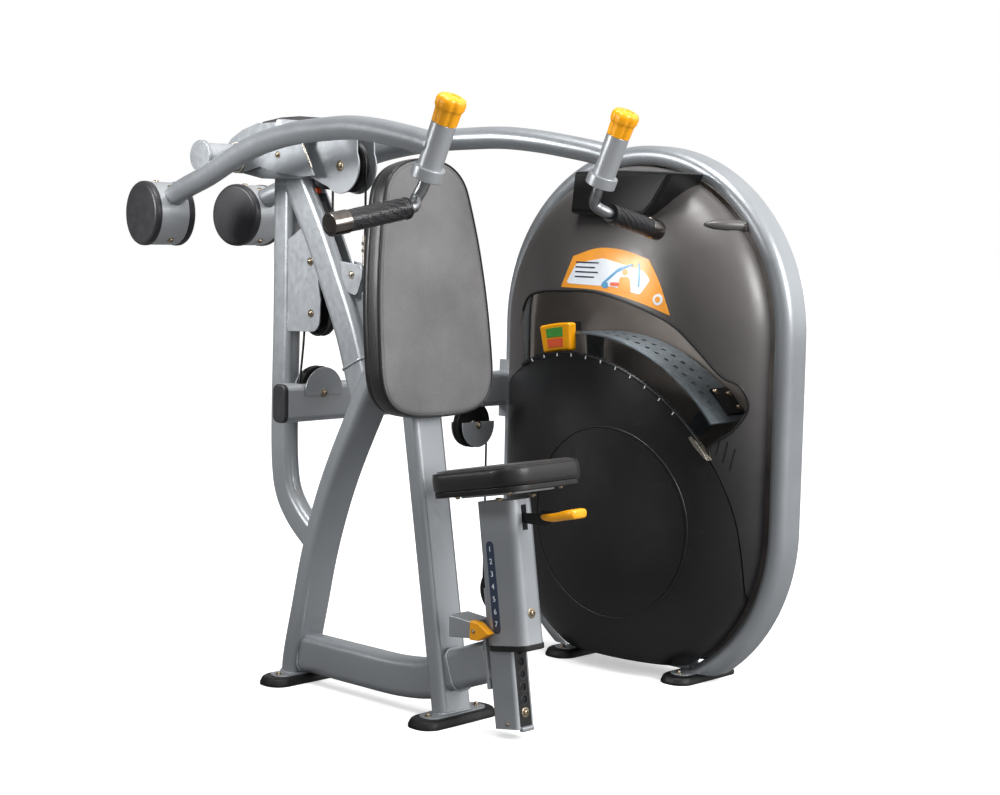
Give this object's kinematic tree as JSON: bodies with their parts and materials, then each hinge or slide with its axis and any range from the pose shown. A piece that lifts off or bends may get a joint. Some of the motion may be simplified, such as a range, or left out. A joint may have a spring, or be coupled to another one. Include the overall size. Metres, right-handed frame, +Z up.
{
  "type": "shoulder press machine",
  "caption": "Seated shoulder press machine with swinging overhead arms, turning handles, a sliding seat, a back pad and a shrouded weight tower.",
  "frame": {"origin": "on the floor at the centre of the front leg's foot", "axes": "+Z up, -Y the way the user faces, +X the user's left, where the weight tower stands"},
  "size_m": [1.5138, 1.5284, 1.517],
  "materials": {
    "frame_silver": "satin metallic powder coat",
    "black_rubber": "matte moulded rubber",
    "black_vinyl": "grained upholstery vinyl",
    "pad_backing": "matte moulded backing",
    "charcoal_shell": "satin moulded shell",
    "black_shell": "satin black moulded shell",
    "yellow_plastic": "satin moulded plastic",
    "pulley_nylon": "moulded nylon",
    "bright_steel": "zinc plated",
    "galvanised": "galvanised sheet",
    "weight_iron": "black painted casting",
    "cable_black": "nylon-coated cable"
  },
  "bodies": {
    "frame": {"axle_lower_pulley": "bright_steel", "axle_upper_pulley": "bright_steel", "back_pad": "black_vinyl", "back_pad_shell": "pad_backing", "base_tube": "frame_silver", "cable_anchor": "bright_steel", "cable_drop": "cable_black", "cable_fall": "cable_black", "cross_bar": "frame_silver", "cross_bar_cap": "black_rubber", "foot_front": "black_rubber", "foot_rear": "black_rubber", "foot_tower_front": "black_rubber", "foot_tower_rear": "black_rubber", "front_leg": "frame_silver", "pivot_housing": "frame_silver", "pulley_bracket": "frame_silver", "rear_leg": "frame_silver", "rear_upright": "frame_silver", "seat_pointer": "yellow_plastic", "seat_post": "frame_silver", "seat_stub": "frame_silver", "shroud_back": "charcoal_shell", "shroud_dome": "black_shell", "shroud_upper": "charcoal_shell", "sign_pod": "black_shell", "spine_tube": "frame_silver", "strand_front": "cable_black", "strand_rear": "cable_black", "tower_beam": "frame_silver", "tower_ring": "frame_silver", "weight_axle": "bright_steel"},
    "press_arm": {"arm_right": "frame_silver", "arm_left": "frame_silver", "handle_sleeve_right": "frame_silver", "handle_sleeve_left": "frame_silver", "counterweight_right": "frame_silver", "counterweight_left": "frame_silver", "pivot_tube": "frame_silver", "lever_beam": "frame_silver", "axle_press_pulley": "bright_steel"},
    "handle_right": {"handle_right": "frame_silver", "grip_right": "black_rubber"},
    "handle_left": {"handle_left": "frame_silver", "grip_left": "black_rubber"},
    "knob_right": {"knob_right": "yellow_plastic"},
    "knob_left": {"knob_left": "yellow_plastic"},
    "seat": {"seat_carriage": "frame_silver", "seat_board": "pad_backing", "seat_pad": "black_vinyl"},
    "seat_lever": {"seat_lever": "yellow_plastic"},
    "weight_arm": {"lift_arm": "galvanised", "weight_plate": "weight_iron"},
    "selector": {"selector": "yellow_plastic"},
    "pulley_press": {"pulley_press": "pulley_nylon"},
    "pulley_upper": {"pulley_upper": "pulley_nylon"},
    "pulley_lower": {"pulley_lower": "pulley_nylon"},
    "pulley_left": {"pulley_left": "pulley_nylon"},
    "pulley_right": {"pulley_right": "pulley_nylon"},
    "pulley_floor": {"pulley_floor": "pulley_nylon"}
  },
  "joints": [
    {"name": "press_arm_swing", "type": "hinge", "parent": "frame", "child": "press_arm", "pos_m": [0, 0.79, 1.391], "axis": [-1, 0, 0], "range_deg": [0, 32], "deforming": ["strand_front", "strand_rear"]},
    {"name": "handle_right_turn", "type": "hinge", "parent": "press_arm", "child": "handle_right", "pos_m": [-0.299, -0.182, 1.333], "axis": [0, -0.4147, 0.91], "range_deg": [0, 90]},
    {"name": "handle_left_turn", "type": "hinge", "parent": "press_arm", "child": "handle_left", "pos_m": [0.299, -0.182, 1.333], "axis": [0, 0.4147, -0.91], "range_deg": [0, 90]},
    {"name": "knob_right_pull", "type": "slide", "parent": "press_arm", "child": "knob_right", "axis": [0, -0.4147, 0.91], "range_m": [0, 0.008]},
    {"name": "knob_left_pull", "type": "slide", "parent": "press_arm", "child": "knob_left", "axis": [0, -0.4147, 0.91], "range_m": [0, 0.008]},
    {"name": "seat_slide", "type": "slide", "parent": "frame", "child": "seat", "axis": [0, 0.1493, 0.9888], "range_m": [-0.18, 0]},
    {"name": "seat_lever_lift", "type": "hinge", "parent": "seat", "child": "seat_lever", "pos_m": [0, -0.208, 0.536], "axis": [-1, 0, 0], "range_deg": [0, 12]},
    {"name": "weight_lift", "type": "hinge", "parent": "frame", "child": "weight_arm", "pos_m": [0.72, 0.171, 0.36], "axis": [-1, 0, 0], "range_deg": [0, 6]},
    {"name": "selector_slide", "type": "hinge", "parent": "weight_arm", "child": "selector", "pos_m": [0.72, 0.171, 0.36], "axis": [1, 0, 0], "range_deg": [0, 50]},
    {"name": "press_pulley_spin", "type": "hinge", "parent": "press_arm", "child": "pulley_press", "pos_m": [0, 0.41, 1.369], "axis": [1, 0, 0], "range_deg": [0, 184]},
    {"name": "upper_pulley_spin", "type": "hinge", "parent": "frame", "child": "pulley_upper", "pos_m": [0, 0.523, 1.121], "axis": [-1, 0, 0], "range_deg": [0, 385]},
    {"name": "lower_pulley_spin", "type": "hinge", "parent": "frame", "child": "pulley_lower", "pos_m": [0, 0.518, 0.986], "axis": [1, 0, 0], "range_deg": [0, 385]},
    {"name": "left_pulley_spin", "type": "hinge", "parent": "frame", "child": "pulley_left", "pos_m": [0.04, 0.572, 0.776], "axis": [0, 1, 0], "range_deg": [0, 385]},
    {"name": "right_pulley_spin", "type": "hinge", "parent": "frame", "child": "pulley_right", "pos_m": [0.632, 0.572, 0.648], "axis": [0, -1, 0], "range_deg": [0, 385]},
    {"name": "floor_pulley_spin", "type": "hinge", "parent": "frame", "child": "pulley_floor", "pos_m": [0.695, 0.509, 0.158], "axis": [1, 0, 0], "range_deg": [0, 385]}
  ],
  "couplings": [
    {"joint": "weight_lift", "follows": "press_arm_swing", "ratio": 0.1875},
    {"joint": "press_pulley_spin", "follows": "press_arm_swing", "ratio": 5.7},
    {"joint": "upper_pulley_spin", "follows": "press_arm_swing", "ratio": 12},
    {"joint": "lower_pulley_spin", "follows": "press_arm_swing", "ratio": 12},
    {"joint": "left_pulley_spin", "follows": "press_arm_swing", "ratio": 12},
    {"joint": "right_pulley_spin", "follows": "press_arm_swing", "ratio": 12},
    {"joint": "floor_pulley_spin", "follows": "press_arm_swing", "ratio": 12}
  ]
}
